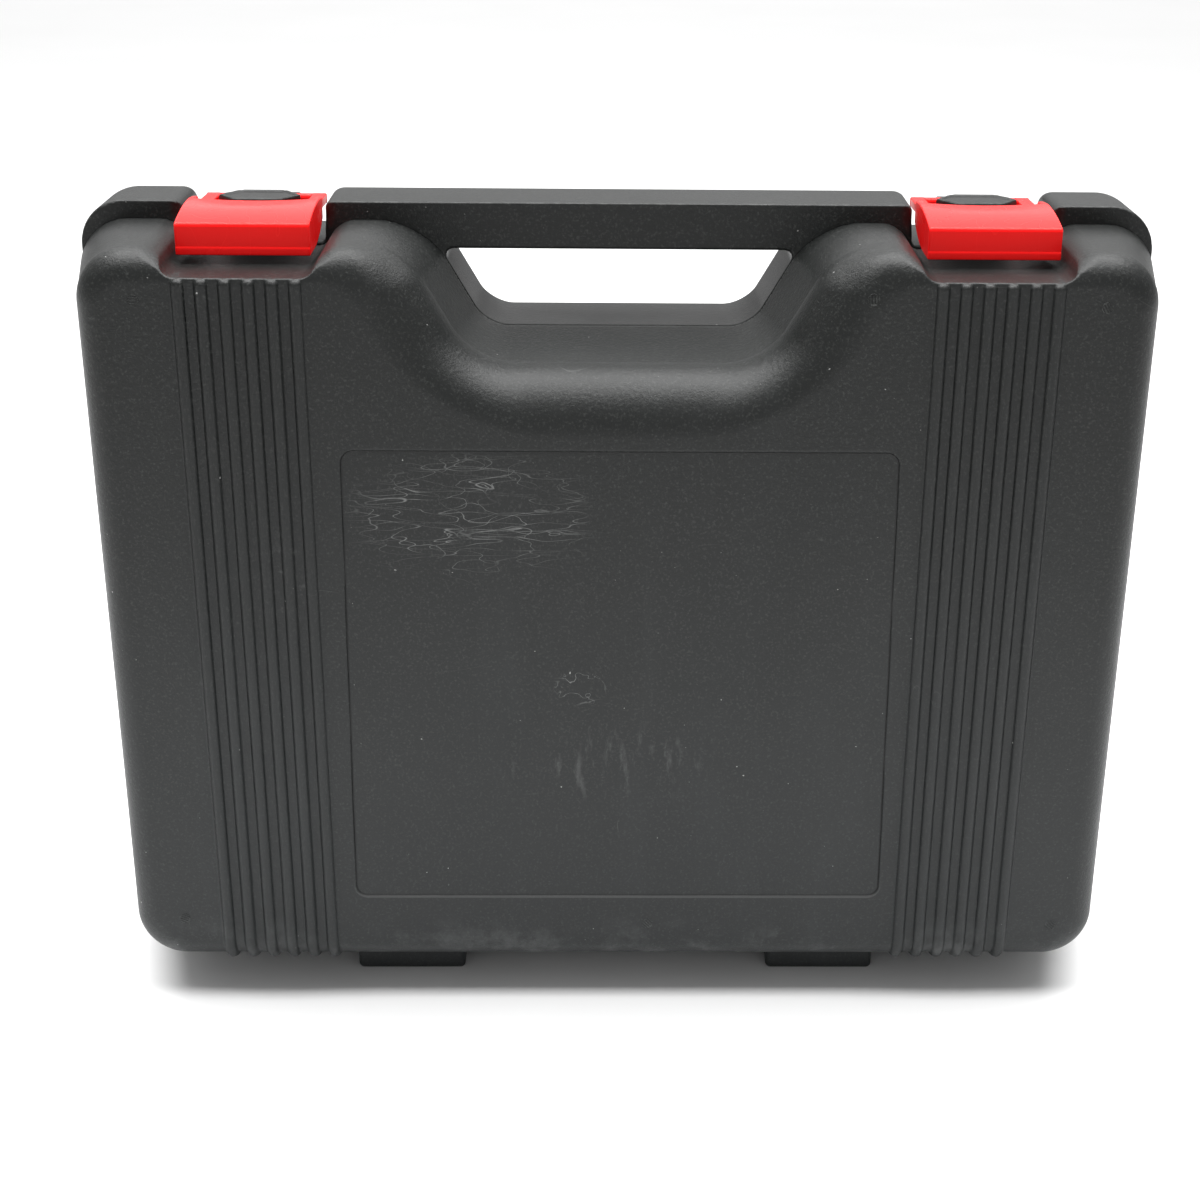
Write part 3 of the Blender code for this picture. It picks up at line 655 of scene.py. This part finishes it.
def worn_and_lit_face(g, colour, rough):
    """Adds the panel's line as painted shade with a painted highlight at its foot, haze, painted
    light towards the bottom, dust near the floor and handling marks. Returns the rim too.
    """
    xyz = g.axes()
    rim = panel_rim(g, xyz)
    # Painted shade: a dark line drawn round the panel's outline. Painted highlight: a pale line
    # along its bottom edge.
    crease_shade = g.ramp(g.size(g.add(rim, 0.0003)), 0.0006, 0.0002)
    glint = g.ramp(g.size(g.less(rim, 0.0004)), 0.0007, 0.0002)
    shine = g.times(glint, g.ramp(xyz[2], 0.060, 0.045))
    low_part = g.ramp(xyz[2], 0.30, 0.02)
    streaks = g.noise(30.0, 5.0, 0.65, 0.2, g.scaled((1.0, 1.0, 0.16)))
    thick = g.math("MULTIPLY_ADD", low_part, 0.5, 0.25)
    haze = g.times(g.ramp(streaks, 0.48, 0.85), thick)
    colour = g.lay(haze, 0.20, colour, HAZE)
    # Painted light: the face is made paler towards the bottom.
    colour = g.lay(low_part, 0.22, colour, LOWER_FACE_LIGHT)
    colour = g.lay(crease_shade, 0.6, colour, CREASE_SHADE)
    colour = g.lay(shine, 0.6, colour, SHINE)
    blotches = g.ramp(g.noise(45.0, 5.0, 0.7), 0.46, 0.70)
    dust = g.times(g.ramp(xyz[2], 0.045, 0.020), blotches)
    dust = g.times(dust, g.ramp(xyz[2], 0.013, 0.016))
    colour = g.lay(dust, 0.35, colour, DUST)
    marks = handling_marks(g, xyz)
    colour = g.lay(marks, 0.55, colour, SCRAPED)
    specks = g.ramp(g.noise(560.0, 1.0, 0.3), 0.82, 0.87)
    colour = g.lay(specks, 0.7, colour, SPECK)
    rough = g.math("MULTIPLY_ADD", marks, 0.12, rough)
    return colour, rough, rim


def charcoal(name, worn_and_lit):
    """Moulded charcoal plastic with a fine grain, and, when asked, with dust, scratches and painted
    light and shade on the face.
    """
    g = Graph(name)
    grain = g.noise(1500.0, 3.0, 0.65)
    pores = g.noise(620.0, 4.0, 0.6)
    cloud = g.noise(14.0, 5.0, 0.55)
    speckle = g.ramp(g.noise(900.0, 2.0, 0.7), 0.5, 0.78)
    colour = g.mix(cloud, CHARCOAL_DARK, CHARCOAL_LIGHT)
    colour = g.lay(speckle, 0.45, colour, SPECKLE)
    broken = g.ramp(g.noise(260.0, 4.0, 0.7), 0.42, 0.68)
    rub = g.times(g.ramp(g.attribute("edge"), 0.35, 1.6), broken, clamp=True)
    colour = g.lay(rub, 0.40, colour, RUBBED)
    rough = g.ramp(cloud, 0.25, 0.75, 0.38, 0.47)
    normal = g.bump(grain, 0.35, 0.0003)
    normal = g.bump(pores, 0.32, 0.0005, normal)
    if worn_and_lit:
        colour, rough, rim = worn_and_lit_face(g, colour, rough)
        normal = g.bump(g.ramp(rim, -0.0004, 0.0004), 0.7, 0.0005, normal)
    g.shader.inputs["Specular IOR Level"].default_value = 0.30
    return g.finish(colour, rough, normal)


def red_plastic(name):
    """Glossy red moulded plastic with faint handling marks."""
    g = Graph(name)
    cloud = g.noise(40.0, 4.0, 0.6)
    colour = g.mix(cloud, RED_DARK, RED_LIGHT)
    edge = g.ramp(g.attribute("edge"), 0.5, 2.2)
    rub = g.times(edge, g.ramp(g.noise(300.0, 4.0, 0.7), 0.5, 0.75), clamp=True)
    colour = g.lay(rub, 0.5, colour, RED_RUBBED)
    scratch = g.lines(70.0, (1.0, 1.0, 0.4), (0.0, 0.0, 0.5), 0.004, 0.6)
    rough = g.math("MULTIPLY_ADD", scratch, 0.15, g.ramp(cloud, 0.3, 0.7, 0.20, 0.28))
    g.shader.inputs["Specular IOR Level"].default_value = 0.5
    g.shader.inputs["Specular Tint"].default_value = RED_GLOSS
    return g.finish(colour, rough, g.bump(g.noise(160.0, 3.0, 0.5), 0.05, 0.0006))


def pin_steel(name):
    """Drawn steel wire with fine lines round it."""
    g = Graph(name)
    lines = g.noise(1200.0, 3.0, 0.6, 0.0, g.scaled((0.05, 1.0, 1.0)))
    colour = g.mix(g.noise(90.0, 4.0, 0.6), STEEL_DARK, STEEL_LIGHT)
    g.shader.inputs["Metallic"].default_value = 1.0
    return g.finish(colour, g.ramp(lines, 0.3, 0.7, 0.26, 0.42), g.bump(lines, 0.15, 0.0002))


def floor_white(name):
    """Plain pale floor."""
    g = Graph(name)
    cloud = g.noise(3.0, 3.0, 0.5)
    colour = g.mix(cloud, FLOOR_DARK, FLOOR_LIGHT)
    return g.finish(colour, g.ramp(cloud, 0.3, 0.7, 0.8, 0.9))


# Stage, light and camera ---------------------------------------------------------------------


def area_light(name, place, aim, wide, deep, power):
    data = bpy.data.lights.new(name, "AREA")
    data.shape = "RECTANGLE"
    data.size, data.size_y, data.energy = wide, deep, power
    obj = bpy.data.objects.new(name, data)
    bpy.context.scene.collection.objects.link(obj)
    obj.location = place
    obj.rotation_euler = (Vector(aim) - Vector(place)).to_track_quat("-Z", "Y").to_euler()


def make_stage(low_z):
    mesh = bpy.data.meshes.new("floor")
    ends = ((-1, -1), (1, -1), (1, 1), (-1, 1))
    corners = [(FLOOR_HALF * x, FLOOR_HALF * y, low_z) for x, y in ends]
    mesh.from_pydata(corners, [], [(0, 1, 2, 3)])
    floor = bpy.data.objects.new("floor", mesh)
    bpy.context.scene.collection.objects.link(floor)
    mesh.materials.append(floor_white("floor_white"))
    world = bpy.data.worlds.new("studio")
    bpy.context.scene.world = world
    world.use_nodes = True
    background = world.node_tree.nodes["Background"]
    background.inputs["Color"].default_value = (1.0, 1.0, 1.0, 1.0)
    background.inputs["Strength"].default_value = WORLD_STRENGTH
    for light in LIGHTS:
        area_light(*light)


def make_camera():
    pitch, yaw, roll = (math.radians(turn) for turn in (CAMERA_PITCH, CAMERA_YAW, CAMERA_ROLL))
    level = Vector((math.sin(yaw), math.cos(yaw), 0.0)) * math.cos(pitch)
    ahead = level - Vector((0.0, 0.0, math.sin(pitch)))
    across = Vector((math.cos(yaw), -math.sin(yaw), 0.0))
    above = across.cross(ahead)
    right = math.cos(roll) * across + math.sin(roll) * above
    up = math.cos(roll) * above - math.sin(roll) * across
    data = bpy.data.cameras.new("camera")
    camera = bpy.data.objects.new("camera", data)
    bpy.context.scene.collection.objects.link(camera)
    turn = Matrix((right, up, -ahead)).transposed().to_4x4()
    camera.matrix_world = Matrix.Translation(CAMERA_PLACE) @ turn
    data.sensor_width = SENSOR
    data.lens = SENSOR * FOCAL / PICTURE
    data.shift_x, data.shift_y = CENTRE_X / PICTURE, CENTRE_Y / PICTURE
    data.clip_start, data.clip_end = 0.05, 50.0
    bpy.context.scene.camera = camera


def make_halves(case, inside):
    field_piece("lid_skin", lid_field, (-218, -61, -3), (218, 8, 328), 0.9, 0.33,
                "lid", "front_outer_shell", case)
    field_piece("base_skin", base_field, (-219, -8, -3), (219, 46, 336), 0.9, 0.33,
                "base", "rear_outer_shell", case)
    field_piece("lid_tray", tray_field(LID_TRAY, -1.0), (-194, -56, 31), (194, 3, 271), 1.3, 0.25,
                "lid", "front_inner_tray", inside)
    field_piece("base_tray", tray_field(BASE_TRAY, 1.0), (-194, -3, 31), (194, 40, 271), 1.3, 0.25,
                "base", "rear_inner_tray", inside)


def make_latches_and_pins(red, steel):
    for side, sign in (("left", -1.0), ("right", 1.0)):
        middle = sign * LATCH_X
        low, high = (middle - 28, -37, 315), (middle + 28, 32, 337)
        field_piece(f"{side}_latch", moved(latch_field, middle), low, high, 0.42, 0.4,
                    f"latch_{side}", f"latch_{side}", red)
        middle = sign * HINGE_X
        low, high = (middle - 47, -4, 1), (middle + 47, 4, 10)
        field_piece(f"{side}_pin", moved(pin_field, middle), low, high, 0.5, 0.5,
                    "base", f"hinge_pin_{side}", steel)


def make_vent_marks(case):
    for number, (x, z, turn) in enumerate(VENTS):
        centre = settle(lid_field, np.array([[x, -LID["depth"], z]]), 3.0, 6)
        out = slopes(lid_field, centre, 0.5)[0]
        centre, out = centre[0], out / np.linalg.norm(out)
        field = vent_field(centre, out, math.radians(turn))
        field_piece(f"vent_mark_{number + 1}", field, centre - 3.2, centre + 3.2, 0.15, 0.5,
                    "lid", None, case)


def main():
    cad_box = [list(corner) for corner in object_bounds()]
    case = charcoal("case_charcoal", True)
    inside = charcoal("tray_charcoal", False)
    red = red_plastic("latch_red")
    steel = pin_steel("pin_steel")
    make_halves(case, inside)
    make_latches_and_pins(red, steel)
    make_vent_marks(case)
    make_stage(cad_box[0][2])
    make_camera()
    bpy.context.scene.view_settings.view_transform = "Standard"
    bpy.context.view_layer.update()


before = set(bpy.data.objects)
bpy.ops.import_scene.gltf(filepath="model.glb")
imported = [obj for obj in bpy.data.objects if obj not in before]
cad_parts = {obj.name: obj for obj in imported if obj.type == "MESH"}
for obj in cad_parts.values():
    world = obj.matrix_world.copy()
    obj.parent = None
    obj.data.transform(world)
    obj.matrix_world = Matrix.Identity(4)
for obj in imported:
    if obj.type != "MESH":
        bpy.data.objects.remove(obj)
main()
